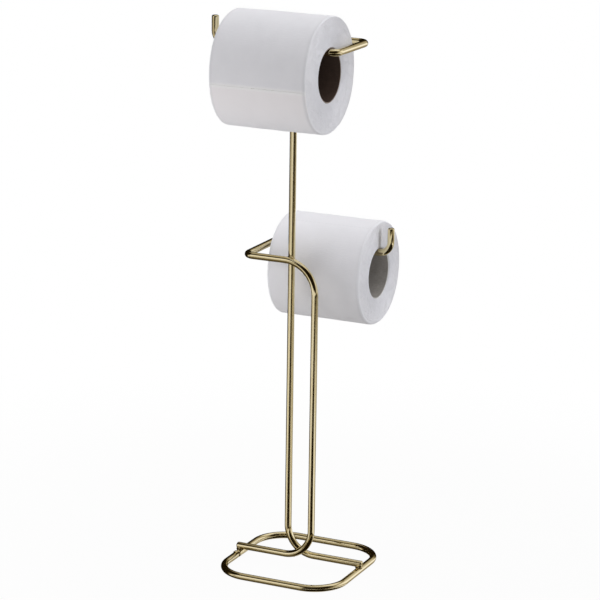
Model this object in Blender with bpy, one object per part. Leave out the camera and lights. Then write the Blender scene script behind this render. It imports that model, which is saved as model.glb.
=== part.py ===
"""Free-standing toilet paper stand in brass-plated round wire, with a roll on each of its two arms.

A round-cornered ring of wire lies on the floor. Two bent wires stand on it side by side, each in its own
upright plane. Each one starts as a foot welded across the ring, bends up, bends over into an arm that goes
out to one side and then to the back or the front, and ends in an upturned tip. The taller wire is bent as
the shorter one is, and stands turned half round. The wires cross at their foot bends and again where the
shorter one bends over, and they are welded at both places. A roll hangs on each arm by its core.

Metres, +Z up, X along the arms, -Y to the front. The origin is on the floor at the middle of the ring.
"""

import math

import bmesh
import bpy
from mathutils import Vector

# Wire, the same all over the stand; a resolution of 4 gives it 12 sides
WIRE_DIAMETER = 0.0070
WIRE_RESOLUTION = 4
WIRE_SIDES = 12
BEND_STEPS = 8

# Base ring: how far it stands out past the arms' tips at the sides, its outside depth, and the radius
# of its corners at the middle of the wire
BASE_SIDE_MARGIN = 0.0010
BASE_DEPTH = 0.1400
BASE_CORNER_RADIUS = 0.0340

# Standing wires, all at the middle of the wire
RISER_SPACING = 0.0295
FOOT_BEND_RADIUS = 0.0295
ARM_BEND_RADIUS = 0.0335
LOWER_ARM_HEIGHT = 0.3213
ARM_HEIGHT_DIFFERENCE = 0.2244
ARM_SIDE_REACH = 0.0631
ARM_CORNER_RADIUS = 0.0090
TIP_CURL_RADIUS = 0.0120
TIP_RISE = 0.0267

# Rolls
ROLL_LENGTH = 0.1000
UPPER_ROLL_DIAMETER = 0.1136
LOWER_ROLL_DIAMETER = 0.1068
CORE_BORE = 0.0508
CORE_WALL = 0.0010
CORE_RECESS = 0.0005
TAIL_THICKNESS = 0.0005
TAIL_ANGLE = math.radians(9)
ROLL_STEPS = 96
CORE_STEPS = 64

# Room between the larger roll and the risers, and at the ends of each roll on its arm
ROLL_RISER_ROOM = 0.00555
UPPER_ROLL_SIDE_ROOM = 0.0025
LOWER_ROLL_SIDE_ROOM = 0.0115
ROLL_CURL_ROOM = 0.0008

# Welds
WELD_RADIUS = 0.0045
WELD_HALF_HEIGHT = 0.0021
BUTT_WELD_HALF_LENGTH = 0.0025
BUTT_WELD_SIDE_STAND = 0.0008
BUTT_WELD_TOP_STAND = 0.0007
BUTT_WELD_FLOOR_ROOM = 0.0003
RING_END_GAP = 0.0016
WELD_SPACING = 0.0010
BEAD_SEGMENTS = 16
BEAD_RINGS = 10

# Clearance between pieces that touch
SEAT_GAP = 0.0003

# Sizes that follow
HALF_TURN = math.pi
QUARTER_TURN = HALF_TURN / 2
FACET_TURN = HALF_TURN / WIRE_SIDES
WIRE_RADIUS = WIRE_DIAMETER / 2
PLANE_OFFSET = WIRE_RADIUS + SEAT_GAP / 2
RING_HEIGHT = WIRE_RADIUS * math.cos(FACET_TURN)
FOOT_HEIGHT = 2 * RING_HEIGHT + SEAT_GAP + WIRE_RADIUS
HALF_SPACING = RISER_SPACING / 2
UPPER_ARM_HEIGHT = LOWER_ARM_HEIGHT + ARM_HEIGHT_DIFFERENCE
LARGER_ROLL_RADIUS = max(UPPER_ROLL_DIAMETER, LOWER_ROLL_DIAMETER) / 2
ARM_DEPTH = LARGER_ROLL_RADIUS + ROLL_RISER_ROOM + WIRE_RADIUS + PLANE_OFFSET
ARM_INNER_SIDE = ARM_SIDE_REACH - WIRE_RADIUS
ROLL_SIDE_ROOM = max(UPPER_ROLL_SIDE_ROOM, LOWER_ROLL_SIDE_ROOM)
CURL_START = ROLL_SIDE_ROOM + ROLL_LENGTH + ROLL_CURL_ROOM - ARM_INNER_SIDE
TIP_REACH = max(CURL_START + TIP_CURL_RADIUS, ARM_SIDE_REACH)
RING_HALF_WIDTH = TIP_REACH + BASE_SIDE_MARGIN
RING_HALF_DEPTH = BASE_DEPTH / 2 - WIRE_RADIUS
BORE_RADIUS = CORE_BORE / 2
CORE_RADIUS = BORE_RADIUS + CORE_WALL
CORE_DROP = BORE_RADIUS - WIRE_RADIUS - SEAT_GAP
RING_JOINT = PLANE_OFFSET + max(WIRE_RADIUS, WELD_RADIUS) + WELD_SPACING + BUTT_WELD_HALF_LENGTH
RING_CORNER_LIMIT = min(RING_HALF_WIDTH, RING_HALF_DEPTH - RING_JOINT) - WIRE_RADIUS
RING_CORNER_RADIUS = min(BASE_CORNER_RADIUS, RING_CORNER_LIMIT)

RIGHT = Vector((1, 0, 0))
BACK = Vector((0, 1, 0))
UP = Vector((0, 0, 1))


def clear_scene():
    """Start from an empty scene."""
    for item in list(bpy.data.objects):
        bpy.data.objects.remove(item, do_unlink=True)


def new_collection(name):
    """A collection under the scene's own."""
    collection = bpy.data.collections.new(name)
    bpy.context.scene.collection.children.link(collection)
    return collection


def new_material(name, colour, roughness, metallic):
    """A plain material with the piece's colour and sheen."""
    material = bpy.data.materials.new(name)
    material.use_nodes = True
    shader = material.node_tree.nodes["Principled BSDF"]
    shader.inputs["Base Color"].default_value = (*colour, 1)
    shader.inputs["Roughness"].default_value = roughness
    shader.inputs["Metallic"].default_value = metallic
    return material


def bent_path(start, corners, end):
    """Middle line of a bent wire: straight runs, and a round bend at each (corner, radius)."""
    stops = [start] + [corner for corner, radius in corners] + [end]
    points = [start]
    for index, (corner, radius) in enumerate(corners, start=1):
        incoming = (corner - stops[index - 1]).normalized()
        outgoing = (stops[index + 1] - corner).normalized()
        centre = corner - radius * incoming + radius * outgoing
        for step in range(BEND_STEPS + 1):
            angle = QUARTER_TURN * step / BEND_STEPS
            points.append(centre - radius * math.cos(angle) * outgoing + radius * math.sin(angle) * incoming)
    points.append(end)
    return points


def ring_path():
    """The base ring, from its joint on the left side round by the front and back to the joint."""
    middle = UP * RING_HEIGHT - RIGHT * RING_HALF_WIDTH - BACK * RING_JOINT
    start = middle - BACK * RING_END_GAP / 2
    end = middle + BACK * RING_END_GAP / 2
    corners = []
    for side, depth in ((-1, -1), (1, -1), (1, 1), (-1, 1)):
        corner = RIGHT * side * RING_HALF_WIDTH + BACK * depth * RING_HALF_DEPTH + UP * RING_HEIGHT
        corners.append((corner, RING_CORNER_RADIUS))
    return bent_path(start, corners, end)


def standing_path(arm_height):
    """A standing wire: foot, riser, arm to the left and to the back, then under the roll's bore to its tip."""
    front = -BACK * PLANE_OFFSET
    back = BACK * ARM_DEPTH
    riser = front + RIGHT * HALF_SPACING
    side = -RIGHT * ARM_SIDE_REACH
    foot = UP * FOOT_HEIGHT
    arm = UP * arm_height
    tip = back + arm + RIGHT * TIP_REACH
    corners = [
        (riser + foot, FOOT_BEND_RADIUS),
        (riser + arm, ARM_BEND_RADIUS),
        (front + side + arm, ARM_CORNER_RADIUS),
        (back + side + arm, ARM_CORNER_RADIUS),
        (tip, TIP_CURL_RADIUS),
    ]
    foot_end = front + foot - RIGHT * (RING_HALF_WIDTH + WIRE_RADIUS)
    return bent_path(foot_end, corners, tip + UP * TIP_RISE)


def rise_on_bend(radius, run):
    """How far a bend has risen at a distance along its tangent."""
    return radius - math.sqrt(radius**2 - run**2)


def new_wire(name, path, radius, material, collection, turn=0):
    """A round wire along a path, turned about the vertical axis."""
    curve = bpy.data.curves.new(name, "CURVE")
    curve.dimensions = "3D"
    curve.bevel_depth = radius
    curve.bevel_resolution = WIRE_RESOLUTION
    curve.use_fill_caps = True
    spline = curve.splines.new("POLY")
    spline.points.add(len(path) - 1)
    for point, place in zip(spline.points, path):
        point.co = (*place, 1)
        point.tilt = FACET_TURN
    curve.materials.append(material)
    piece = bpy.data.objects.new(name, curve)
    piece.rotation_euler.z = turn
    collection.objects.link(piece)
    return piece


def new_cutter(name, path, material, collection, turn=0):
    """The space that a wire takes up with its clearance, as a closed mesh."""
    curve_piece = new_wire(name, path, WIRE_RADIUS + SEAT_GAP, material, collection, turn)
    bpy.context.view_layer.update()
    evaluated = curve_piece.evaluated_get(bpy.context.evaluated_depsgraph_get())
    mesh = bpy.data.meshes.new_from_object(evaluated)
    shape = bmesh.new()
    shape.from_mesh(mesh)
    bmesh.ops.remove_doubles(shape, verts=shape.verts, dist=SEAT_GAP / WIRE_SIDES)
    bmesh.ops.recalc_face_normals(shape, faces=shape.faces)
    shape.to_mesh(mesh)
    shape.free()
    cutter = bpy.data.objects.new(name, mesh)
    cutter.matrix_world = curve_piece.matrix_world.copy()
    bpy.data.objects.remove(curve_piece, do_unlink=True)
    cutter.name = name
    cutter.display_type = "WIRE"
    cutter.hide_render = True
    collection.objects.link(cutter)
    return cutter


def new_bead(name, centre, half_sizes, cutters, material, collection, lean=0):
    """A weld bead: a flattened ball with its poles along its own Z, cut by the wires that it touches."""
    shape = bmesh.new()
    bmesh.ops.create_uvsphere(shape, u_segments=BEAD_SEGMENTS, v_segments=BEAD_RINGS, radius=1)
    bmesh.ops.scale(shape, vec=half_sizes, verts=shape.verts)
    mesh = bpy.data.meshes.new(name)
    shape.to_mesh(mesh)
    shape.free()
    mesh.materials.append(material)
    mesh.shade_smooth()
    bead = bpy.data.objects.new(name, mesh)
    bead.location = centre
    bead.rotation_euler.x = lean
    for cutter in cutters:
        cut = bead.modifiers.new("cut_by_" + cutter.name, "BOOLEAN")
        cut.operation = "DIFFERENCE"
        cut.solver = "EXACT"
        cut.object = cutter
    collection.objects.link(bead)


def circle_outline(radius):
    """Points round a plain circle."""
    points = []
    for step in range(CORE_STEPS):
        angle = 2 * HALF_TURN * step / CORE_STEPS
        points.append((radius * math.cos(angle), radius * math.sin(angle)))
    return points


def wound_outline(radius, start_angle, sense):
    """Points round a wound roll, whose last sheet ends in a step of its own thickness."""
    points = []
    for step in range(ROLL_STEPS + 1):
        share = step / ROLL_STEPS
        angle = start_angle + sense * 2 * HALF_TURN * share
        wound_radius = radius - TAIL_THICKNESS * share
        points.append((wound_radius * math.cos(angle), wound_radius * math.sin(angle)))
    return points


def new_sleeve(name, outlines, length, centre, material, collection):
    """A sleeve along X: flat outlines, in Y and Z, drawn out to both sides of its centre."""
    curve = bpy.data.curves.new(name, "CURVE")
    curve.dimensions = "2D"
    curve.fill_mode = "BOTH"
    curve.extrude = length / 2
    for outline in outlines:
        spline = curve.splines.new("POLY")
        spline.points.add(len(outline) - 1)
        for point, place in zip(spline.points, outline):
            point.co = (*place, 0, 1)
        spline.use_cyclic_u = True
    curve.materials.append(material)
    piece = bpy.data.objects.new(name, curve)
    piece.location = centre
    piece.rotation_euler = (QUARTER_TURN, 0, QUARTER_TURN)
    collection.objects.link(piece)


def build_roll(place, centre, diameter, tail_start, sense, cardboard, paper, collection):
    """A core that hangs on its arm, and the paper wound on it, both about the roll's own axis."""
    core_outlines = [circle_outline(CORE_RADIUS), circle_outline(BORE_RADIUS)]
    core_length = ROLL_LENGTH - 2 * CORE_RECESS
    new_sleeve(place + "_roll_core", core_outlines, core_length, centre, cardboard, collection)
    paper_outlines = [wound_outline(diameter / 2, tail_start, sense), circle_outline(CORE_RADIUS + SEAT_GAP)]
    new_sleeve(place + "_roll_paper", paper_outlines, ROLL_LENGTH, centre, paper, collection)


def build_rolls(cardboard, paper, collection):
    """The lower roll hangs behind the risers and the upper one in front of them."""
    lower_side = ARM_INNER_SIDE - LOWER_ROLL_SIDE_ROOM - ROLL_LENGTH / 2
    lower_centre = BACK * ARM_DEPTH - RIGHT * lower_side + UP * (LOWER_ARM_HEIGHT - CORE_DROP)
    upper_side = ARM_INNER_SIDE - UPPER_ROLL_SIDE_ROOM - ROLL_LENGTH / 2
    upper_centre = RIGHT * upper_side - BACK * ARM_DEPTH + UP * (UPPER_ARM_HEIGHT - CORE_DROP)
    build_roll("lower", lower_centre, LOWER_ROLL_DIAMETER, -TAIL_ANGLE, 1, cardboard, paper, collection)
    upper_tail = HALF_TURN + TAIL_ANGLE
    build_roll("upper", upper_centre, UPPER_ROLL_DIAMETER, upper_tail, -1, cardboard, paper, collection)


def build_wires(brass, collection):
    """The ring on the floor and the two standing wires."""
    new_wire("base_ring", ring_path(), WIRE_RADIUS, brass, collection)
    new_wire("lower_arm_wire", standing_path(LOWER_ARM_HEIGHT), WIRE_RADIUS, brass, collection)
    new_wire("pole_wire", standing_path(UPPER_ARM_HEIGHT), WIRE_RADIUS, brass, collection, HALF_TURN)


def build_welds(brass, collection, cutters):
    """A bead between each two wires that touch, and one that closes the ring."""
    ring = new_cutter("ring_space", ring_path(), brass, cutters)
    lower = new_cutter("lower_arm_space", standing_path(LOWER_ARM_HEIGHT), brass, cutters)
    pole = new_cutter("pole_space", standing_path(UPPER_ARM_HEIGHT), brass, cutters, HALF_TURN)
    flat_bead = (WELD_RADIUS, WELD_RADIUS, WELD_HALF_HEIGHT)

    foot_place = RIGHT * RING_HALF_WIDTH + BACK * PLANE_OFFSET
    foot_seat = UP * (2 * RING_HEIGHT + SEAT_GAP / 2)
    new_bead("left_foot_weld", foot_seat - foot_place, flat_bead, [ring, lower], brass, collection)
    new_bead("right_foot_weld", foot_seat + foot_place, flat_bead, [ring, pole], brass, collection)

    low_run = max(FOOT_BEND_RADIUS - HALF_SPACING, 0)
    low_place = UP * (FOOT_HEIGHT + rise_on_bend(FOOT_BEND_RADIUS, low_run))
    new_bead("foot_bends_weld", low_place, flat_bead, [lower, pole], brass, collection, QUARTER_TURN)

    high_run = max(ARM_BEND_RADIUS - RISER_SPACING, 0)
    high_place = UP * (LOWER_ARM_HEIGHT - rise_on_bend(ARM_BEND_RADIUS, high_run)) - RIGHT * HALF_SPACING
    new_bead("arm_bend_weld", high_place, flat_bead, [lower, pole], brass, collection, QUARTER_TURN)

    bottom = BUTT_WELD_FLOOR_ROOM
    top = RING_HEIGHT + WIRE_RADIUS + BUTT_WELD_TOP_STAND
    butt_place = UP * (top + bottom) / 2 - RIGHT * RING_HALF_WIDTH - BACK * RING_JOINT
    butt_sizes = (WIRE_RADIUS + BUTT_WELD_SIDE_STAND, BUTT_WELD_HALF_LENGTH, (top - bottom) / 2)
    new_bead("base_ring_butt_weld", butt_place, butt_sizes, [ring], brass, collection)


def main():
    clear_scene()
    parts = new_collection("toilet_paper_stand")
    cutters = new_collection("cutters")
    brass = new_material("brass_plating", (0.80, 0.70, 0.44), 0.16, 1.0)
    cardboard = new_material("core_board", (0.40, 0.35, 0.30), 0.90, 0.0)
    paper = new_material("tissue_paper", (0.80, 0.80, 0.82), 0.95, 0.0)
    build_wires(brass, parts)
    build_welds(brass, parts, cutters)
    build_rolls(cardboard, paper, parts)


main()
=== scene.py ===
"""Looks of the free-standing toilet paper stand: brass-plated round wire with a tissue roll on each arm.

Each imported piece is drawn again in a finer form: round wires with eased cut ends, fused welds, wound tissue
and board tubes. Each roll's loose outer sheet is a piece of its own. Metres, +Z up, X along the arms, -Y to
the front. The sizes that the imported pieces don't give are written once, beside the work they belong to.
"""

import math
import random

import bmesh
import bpy
from mathutils import Matrix, Vector


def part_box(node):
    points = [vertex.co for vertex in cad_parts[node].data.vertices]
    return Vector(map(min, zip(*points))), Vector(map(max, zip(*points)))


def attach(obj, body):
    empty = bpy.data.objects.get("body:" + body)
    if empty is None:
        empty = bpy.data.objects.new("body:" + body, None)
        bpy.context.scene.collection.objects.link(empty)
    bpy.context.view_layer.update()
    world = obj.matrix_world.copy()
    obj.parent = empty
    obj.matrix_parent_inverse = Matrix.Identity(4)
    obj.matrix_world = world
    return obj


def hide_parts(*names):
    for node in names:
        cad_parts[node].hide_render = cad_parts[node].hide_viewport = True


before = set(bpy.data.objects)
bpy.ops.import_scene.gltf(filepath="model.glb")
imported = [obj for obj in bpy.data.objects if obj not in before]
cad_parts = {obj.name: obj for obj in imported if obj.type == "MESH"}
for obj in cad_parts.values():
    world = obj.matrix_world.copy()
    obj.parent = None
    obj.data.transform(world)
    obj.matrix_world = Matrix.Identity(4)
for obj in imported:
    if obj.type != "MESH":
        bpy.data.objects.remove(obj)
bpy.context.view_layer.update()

HALF_TURN = math.pi
FULL_TURN = 2 * math.pi
QUARTER_TURN = math.pi / 2
RIGHT = Vector((1, 0, 0))
BACK = Vector((0, 1, 0))
UP = Vector((0, 0, 1))
WHITE = (1.0, 1.0, 1.0)

# Wire, and the bends of the stand at the middle of the wire
WIRE_RADIUS = 0.0035
WIRE_SIDES = 40
WIRE_END_EASE = 0.0016
WIRE_END_ANGLES = (0, 25, 50, 72, 90)
BEND_STEPS = 28
RING_CORNER_RADIUS = 0.0340
RING_JOINT = 0.01165
RING_END_GAP = 0.0016
HALF_SPACING = 0.01475
PLANE_OFFSET = 0.00365
FOOT_HEIGHT = 0.01056
FOOT_BEND_RADIUS = 0.0295
ARM_BEND_RADIUS = 0.0335
ARM_SIDE_REACH = 0.0631
ARM_CORNER_RADIUS = 0.0090
TIP_CURL_RADIUS = 0.0120
TIP_RISE = 0.0267

# Welds
FILLET_VOXEL = 0.00035
FILLET_SMOOTH_STEPS = 14
FILLET_STUB_LENGTH = 0.0065
FILLET_STUB_INSET = 0.00028
FILLET_BALL_SHARE = 0.93
FILLET_LEAST_SHARE = 0.62
FOOT_STUB_SHIFT = 0.0040
HALF_WIRE_GAP = 0.00003
BEAD_SIDES = 40
BEAD_RINGS = 28
BEAD_FULLNESS = 0.36
BEAD_RIPPLES = 4
BEAD_RIPPLE_HEIGHT = 0.00012

# Tissue rolls
ROLL_STEPS = 144
UPPER_RIM_RADIUS = 0.0020
LOWER_RIM_RADIUS = 0.0028
RIM_STEPS = 9
UPPER_END_GROWTH = 0.0003
LOWER_END_GROWTH = 0.0008
TAIL_ANGLE = math.radians(9)
CORE_ROOM = 0.0003
SOFT_HEIGHT = 0.00030
PLUMPNESS = 0.0008
SWELL_SCALE, SWELL_ALONG = 1.7, 26
SWELL_MIDDLE, SWELL_GAIN = 0.62, 4
SEAM_DISTANCE = 1e-6

# The wound layers on a roll's ends; for each point of a layer, its share of the layer and its depth
LAYER_PITCH = 0.00062
LAYER_GROOVE = 0.00030
LAYER_POINTS = ((0.28, 0.0), (0.72, 0.0), (1.0, LAYER_GROOVE))
LAYER_WANDER = 0.00028
WANDER_MEMORY = 0.72
FACE_SPACING = 0.0022

# The loose outer sheet
SHEET_THICKNESS = 0.00028
SHEET_TURNS = 1.02
SHEET_STEPS = 176
SHEET_SPREAD = 1.6
SHEET_SPACING = 0.0014
SHEET_RIM_ANGLE = math.radians(22)
SHEETS_PER_TURN = 3
TAIL_LIFT = 0.00005
LIFT_FADE = 26
CURL_SCALE, CURL_GAIN, CURL_SEED = 2.6, 1.6, 7
TEAR_DEPTH = 0.00030
TEAR_FADE = 90
TEAR_SPREAD = 0.6

# Board tubes
TUBE_STEPS = 96
TUBE_BORE_RADIUS = 0.0254
TUBE_EASE = 0.00025
TUBE_SEAM_LEAD = 0.062

# How fine the finishes' marks are
PLATING_PATCH = 0.022
PLATING_RUB = 0.006
PLATING_PEEL = 0.0030
DRAWN_LINE = 0.0005
ALONG_WIRE = (0.02, 1, 1)
PAPER_CLOUD = 0.020
PAPER_CREPE = 0.0006
PAPER_FIBRE = 0.00045
PAPER_STREAK = 0.0016
LAYER_DRIFT = 0.006
SLIT_SPACING = 0.0045
BOARD_FIBRE = 0.0007
BOARD_CLOUD = 0.009
BOARD_RUB = 0.004
BUMP_HEIGHT = 0.00012

# How strong they are
GAP_HALF_WIDTH, GAP_LEAST, GAP_SHADE, GAP_DEPTH = 0.34, 0.35, 0.30, 1.6
SLIT_HALF_WIDTH, SLIT_SHARE, SLIT_SHADE, SLIT_DEPTH = 0.006, 0.36, 0.16, 1.5
BORE_SHADE_STRENGTH = 0.55
SEAM_HALF_WIDTH, SEAM_SHADE, SEAM_DEPTH = 0.012, 0.8, 3

# Where the paper changes: the painted shade near the bore by its radius, the loose sheet's painted light and
# its painted highlight along the tail by their turn, and the rims' painted shade by how far they are from the
# roll's end
BORE_SHADE_FROM, BORE_SHADE_TO = 0.027, 0.050
TAIL_LIGHT_TURN = 0.20
TAIL_HIGHLIGHT_FROM, TAIL_HIGHLIGHT_TO = 0.0005, 0.010
RIM_SHADE_FROM, RIM_SHADE_TO, RIM_SHADE_FADE = 0.0045, 0.0012, 0.0006

# Colours: pale and deep ones for each finish, and what is drawn over them
PLATING_COLOURS = (0.90, 0.80, 0.50), (0.87, 0.75, 0.44)
WELD_COLOURS = (0.84, 0.72, 0.43), (0.74, 0.60, 0.33)
PAPER_PALE, PAPER_DEEP = (0.855, 0.848, 0.884), (0.826, 0.819, 0.856)
# The paper's painted shade and light: shade in the layer gaps, near the bore, on the rims and in the slits;
# light and a highlight at the tail
PAPER_IN_GAP_SHADE = (0.62, 0.62, 0.65)
PAPER_IN_BORE_SHADE = (0.74, 0.74, 0.785)
PAPER_IN_TAIL_LIGHT = (0.930, 0.897, 0.915)
PAPER_TAIL_HIGHLIGHT = (0.97, 0.96, 0.965)
PAPER_IN_RIM_SHADE = (0.70, 0.70, 0.73)
PAPER_IN_SLIT_SHADE = (0.45, 0.45, 0.48)
UPPER_BOARD_COLOURS = (0.068, 0.044, 0.034), (0.042, 0.027, 0.021), (0.34, 0.28, 0.24)
LOWER_BOARD_COLOURS = (0.33, 0.31, 0.29), (0.23, 0.215, 0.20), (0.66, 0.65, 0.63)


# ---------------------------------------------------------------- node trees


def feed(tree, target, source):
    """Puts a value, or another node's output, into a socket."""
    if isinstance(source, bpy.types.NodeSocket):
        tree.links.new(source, target)
    elif source is not None:
        target.default_value = source


def put(tree, kind, feeds=None, **settings):
    """A node with its settings and what feeds its inputs, by name or by number."""
    node = tree.nodes.new(kind)
    for name, value in settings.items():
        setattr(node, name, value)
    for socket, source in (feeds or {}).items():
        feed(tree, node.inputs[socket], source)
    return node


def calc(tree, operation, *terms):
    """The result of one sum."""
    node = put(tree, "ShaderNodeMath", operation=operation)
    for socket, term in zip(node.inputs, terms):
        feed(tree, socket, term)
    return node.outputs[0]


def product(tree, first, *others):
    """The product of several values."""
    for other in others:
        first = calc(tree, "MULTIPLY", first, other)
    return first


def calc_vector(tree, operation, *terms):
    """The result of one sum of vectors."""
    node = put(tree, "ShaderNodeVectorMath", operation=operation)
    for socket, term in zip(node.inputs, terms):
        feed(tree, socket, term)
    return node.outputs["Value" if operation == "LENGTH" else "Vector"]


def vector(tree, x, y, z):
    """A vector of three values."""
    return put(tree, "ShaderNodeCombineXYZ", {"X": x, "Y": y, "Z": z}).outputs[0]


def ramp(tree, value, start, stop, low=0.0, high=1.0, kind="SMOOTHSTEP"):
    """A value carried from the range start to stop into the range low to high."""
    feeds = {"Value": value, "From Min": start, "From Max": stop, "To Min": low, "To Max": high}
    return put(tree, "ShaderNodeMapRange", feeds, interpolation_type=kind).outputs[0]


def new_tree(name, kind, inputs, outputs):
    """A node group with named inputs, given as (name, type, value), and named outputs."""
    tree = bpy.data.node_groups.new(name, kind)
    for socket_name, socket_type, value in inputs:
        socket = tree.interface.new_socket(name=socket_name, in_out="INPUT", socket_type=socket_type)
        if value is not None:
            socket.default_value = value
    for socket_name, socket_type in outputs:
        tree.interface.new_socket(name=socket_name, in_out="OUTPUT", socket_type=socket_type)
    return tree, tree.nodes.new("NodeGroupInput").outputs, tree.nodes.new("NodeGroupOutput").inputs


def named(tree, name):
    """What a named attribute holds, in a geometry tree."""
    return put(tree, "GeometryNodeInputNamedAttribute", {"Name": name}, data_type="FLOAT").outputs[0]


def store(tree, geometry, name, value, data_type="FLOAT"):
    """Keeps a value on the points under a name."""
    feeds = {"Geometry": geometry, "Name": name, "Value": value}
    return put(tree, "GeometryNodeStoreNamedAttribute", feeds, data_type=data_type, domain="POINT").outputs[0]


def finished(tree, geometry, material):
    """Closes seams, smooths the shading and gives the material, as the last nodes of a tree."""
    feeds = {"Geometry": geometry, "Distance": SEAM_DISTANCE}
    merged = put(tree, "GeometryNodeMergeByDistance", feeds).outputs[0]
    smooth = put(tree, "GeometryNodeSetShadeSmooth", {"Geometry": merged}).outputs[0]
    real = put(tree, "GeometryNodeRealizeInstances", {"Geometry": smooth}).outputs[0]
    return put(tree, "GeometryNodeSetMaterial", {"Geometry": real, "Material": material}).outputs[0]


def bent_wire_tree():
    """A round wire along corner points, bent at each one by the bend radius kept there."""
    tree, given, result = new_tree(
        "bent_wire",
        "GeometryNodeTree",
        [
            ("Corners", "NodeSocketGeometry", None),
            ("Wire Radius", "NodeSocketFloat", WIRE_RADIUS),
            ("Wire Sides", "NodeSocketInt", WIRE_SIDES),
            ("Bend Steps", "NodeSocketInt", BEND_STEPS),
            ("Material", "NodeSocketMaterial", None),
        ],
        [("Wire", "NodeSocketGeometry")],
    )
    line = put(tree, "GeometryNodeMeshToCurve", {"Mesh": given["Corners"]}).outputs[0]
    feeds = {"Curve": line, "Count": given["Bend Steps"], "Radius": named(tree, "bend_radius")}
    bent = put(tree, "GeometryNodeFilletCurve", feeds, mode="POLY").outputs[0]
    path = store(tree, bent, "along", put(tree, "GeometryNodeSplineParameter").outputs["Length"])
    feeds = {"Resolution": given["Wire Sides"], "Radius": given["Wire Radius"]}
    circle = put(tree, "GeometryNodeCurvePrimitiveCircle", feeds).outputs[0]
    profile = store(tree, circle, "around", put(tree, "GeometryNodeSplineParameter").outputs["Factor"])
    feeds = {"Curve": path, "Profile Curve": profile, "Scale": named(tree, "thickness_share")}
    feeds["Fill Caps"] = True
    swept = put(tree, "GeometryNodeCurveToMesh", feeds).outputs[0]
    angle = product(tree, named(tree, "around"), FULL_TURN)
    across = product(tree, calc(tree, "COSINE", angle), given["Wire Radius"])
    up = product(tree, calc(tree, "SINE", angle), given["Wire Radius"])
    place = vector(tree, named(tree, "along"), across, up)
    placed = store(tree, swept, "wire_place", place, "FLOAT_VECTOR")
    feed(tree, result["Wire"], finished(tree, placed, given["Material"]))
    return tree


def turned_tree():
    """A section turned about the X axis: its points keep their radius, their place along the axis,
    how soft they are and how far the torn edge stands out there."""
    tree, given, result = new_tree(
        "turned_about_axis",
        "GeometryNodeTree",
        [
            ("Section", "NodeSocketGeometry", None),
            ("Centre", "NodeSocketVector", None),
            ("Start Angle", "NodeSocketFloat", 0.0),
            ("Turn", "NodeSocketFloat", FULL_TURN),
            ("Steps", "NodeSocketInt", ROLL_STEPS),
            ("Spread", "NodeSocketFloat", 1.0),
            ("Drop", "NodeSocketFloat", 0.0),
            ("Soft Height", "NodeSocketFloat", 0.0),
            ("Soft Seed", "NodeSocketFloat", 0.0),
            ("Plumpness", "NodeSocketFloat", 0.0),
            ("Tail Lift", "NodeSocketFloat", 0.0),
            ("Cut Ends", "NodeSocketBool", False),
            ("Material", "NodeSocketMaterial", None),
        ],
        [("Turned", "NodeSocketGeometry")],
    )
    section = put(tree, "GeometryNodeMeshToCurve", {"Mesh": given["Section"]}).outputs[0]
    path = put(tree, "GeometryNodeCurvePrimitiveLine", {"End": UP}).outputs[0]
    count = calc(tree, "ADD", given["Steps"], 1)
    path = put(tree, "GeometryNodeResampleCurve", {"Curve": path, "Count": count}).outputs[0]
    factor = put(tree, "GeometryNodeSplineParameter").outputs["Factor"]
    path = store(tree, path, "turn_share", calc(tree, "POWER", factor, given["Spread"]))
    feeds = {"Curve": path, "Profile Curve": section, "Fill Caps": given["Cut Ends"]}
    swept = put(tree, "GeometryNodeCurveToMesh", feeds).outputs[0]

    # The turn of each point, and the torn edge where the turn starts
    share, side = named(tree, "turn_share"), named(tree, "side")
    edge = calc(tree, "MAXIMUM", calc(tree, "SUBTRACT", 1, product(tree, share, TEAR_FADE)), 0)
    tear = product(tree, named(tree, "tear"), edge)
    turned = calc(tree, "ADD", given["Start Angle"], product(tree, share, given["Turn"]))
    angle = calc(tree, "ADD", turned, tear)
    cosine, sine = calc(tree, "COSINE", angle), calc(tree, "SINE", angle)

    # How far the soft paper swells: unevenly all round, and plumply at the four slants
    around = vector(tree, product(tree, side, SWELL_ALONG), cosine, sine)
    feeds = {"Vector": around, "W": given["Soft Seed"], "Scale": SWELL_SCALE, "Detail": 3.0, "Roughness": 0.5}
    noise = put(tree, "ShaderNodeTexNoise", feeds, noise_dimensions="4D").outputs[0]
    uneven = product(tree, calc(tree, "SUBTRACT", noise, SWELL_MIDDLE), given["Soft Height"], SWELL_GAIN)
    slant = product(tree, cosine, sine, 2)
    plump = product(tree, slant, slant, given["Plumpness"])
    swell = product(tree, calc(tree, "ADD", uneven, plump), named(tree, "softness"))

    # How far the tail stands off, a little unevenly along its edge
    seed = calc(tree, "ADD", given["Soft Seed"], CURL_SEED)
    feeds = {"Vector": around, "W": seed, "Scale": CURL_SCALE, "Detail": 2.0}
    curl = put(tree, "ShaderNodeTexNoise", feeds, noise_dimensions="4D").outputs[0]
    near = calc(tree, "MAXIMUM", calc(tree, "SUBTRACT", 1, product(tree, share, LIFT_FADE)), 0)
    lift = product(tree, near, near, given["Tail Lift"], product(tree, curl, CURL_GAIN))

    radius = calc(tree, "SUBTRACT", named(tree, "reach"), product(tree, share, given["Drop"]))
    radius = calc(tree, "ADD", calc(tree, "ADD", radius, swell), lift)
    place = vector(tree, side, product(tree, radius, cosine), product(tree, radius, sine))
    place = calc_vector(tree, "ADD", place, given["Centre"])
    moved = put(tree, "GeometryNodeSetPosition", {"Geometry": swept, "Position": place}).outputs[0]
    feed(tree, result["Turned"], finished(tree, moved, given["Material"]))
    return tree


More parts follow.
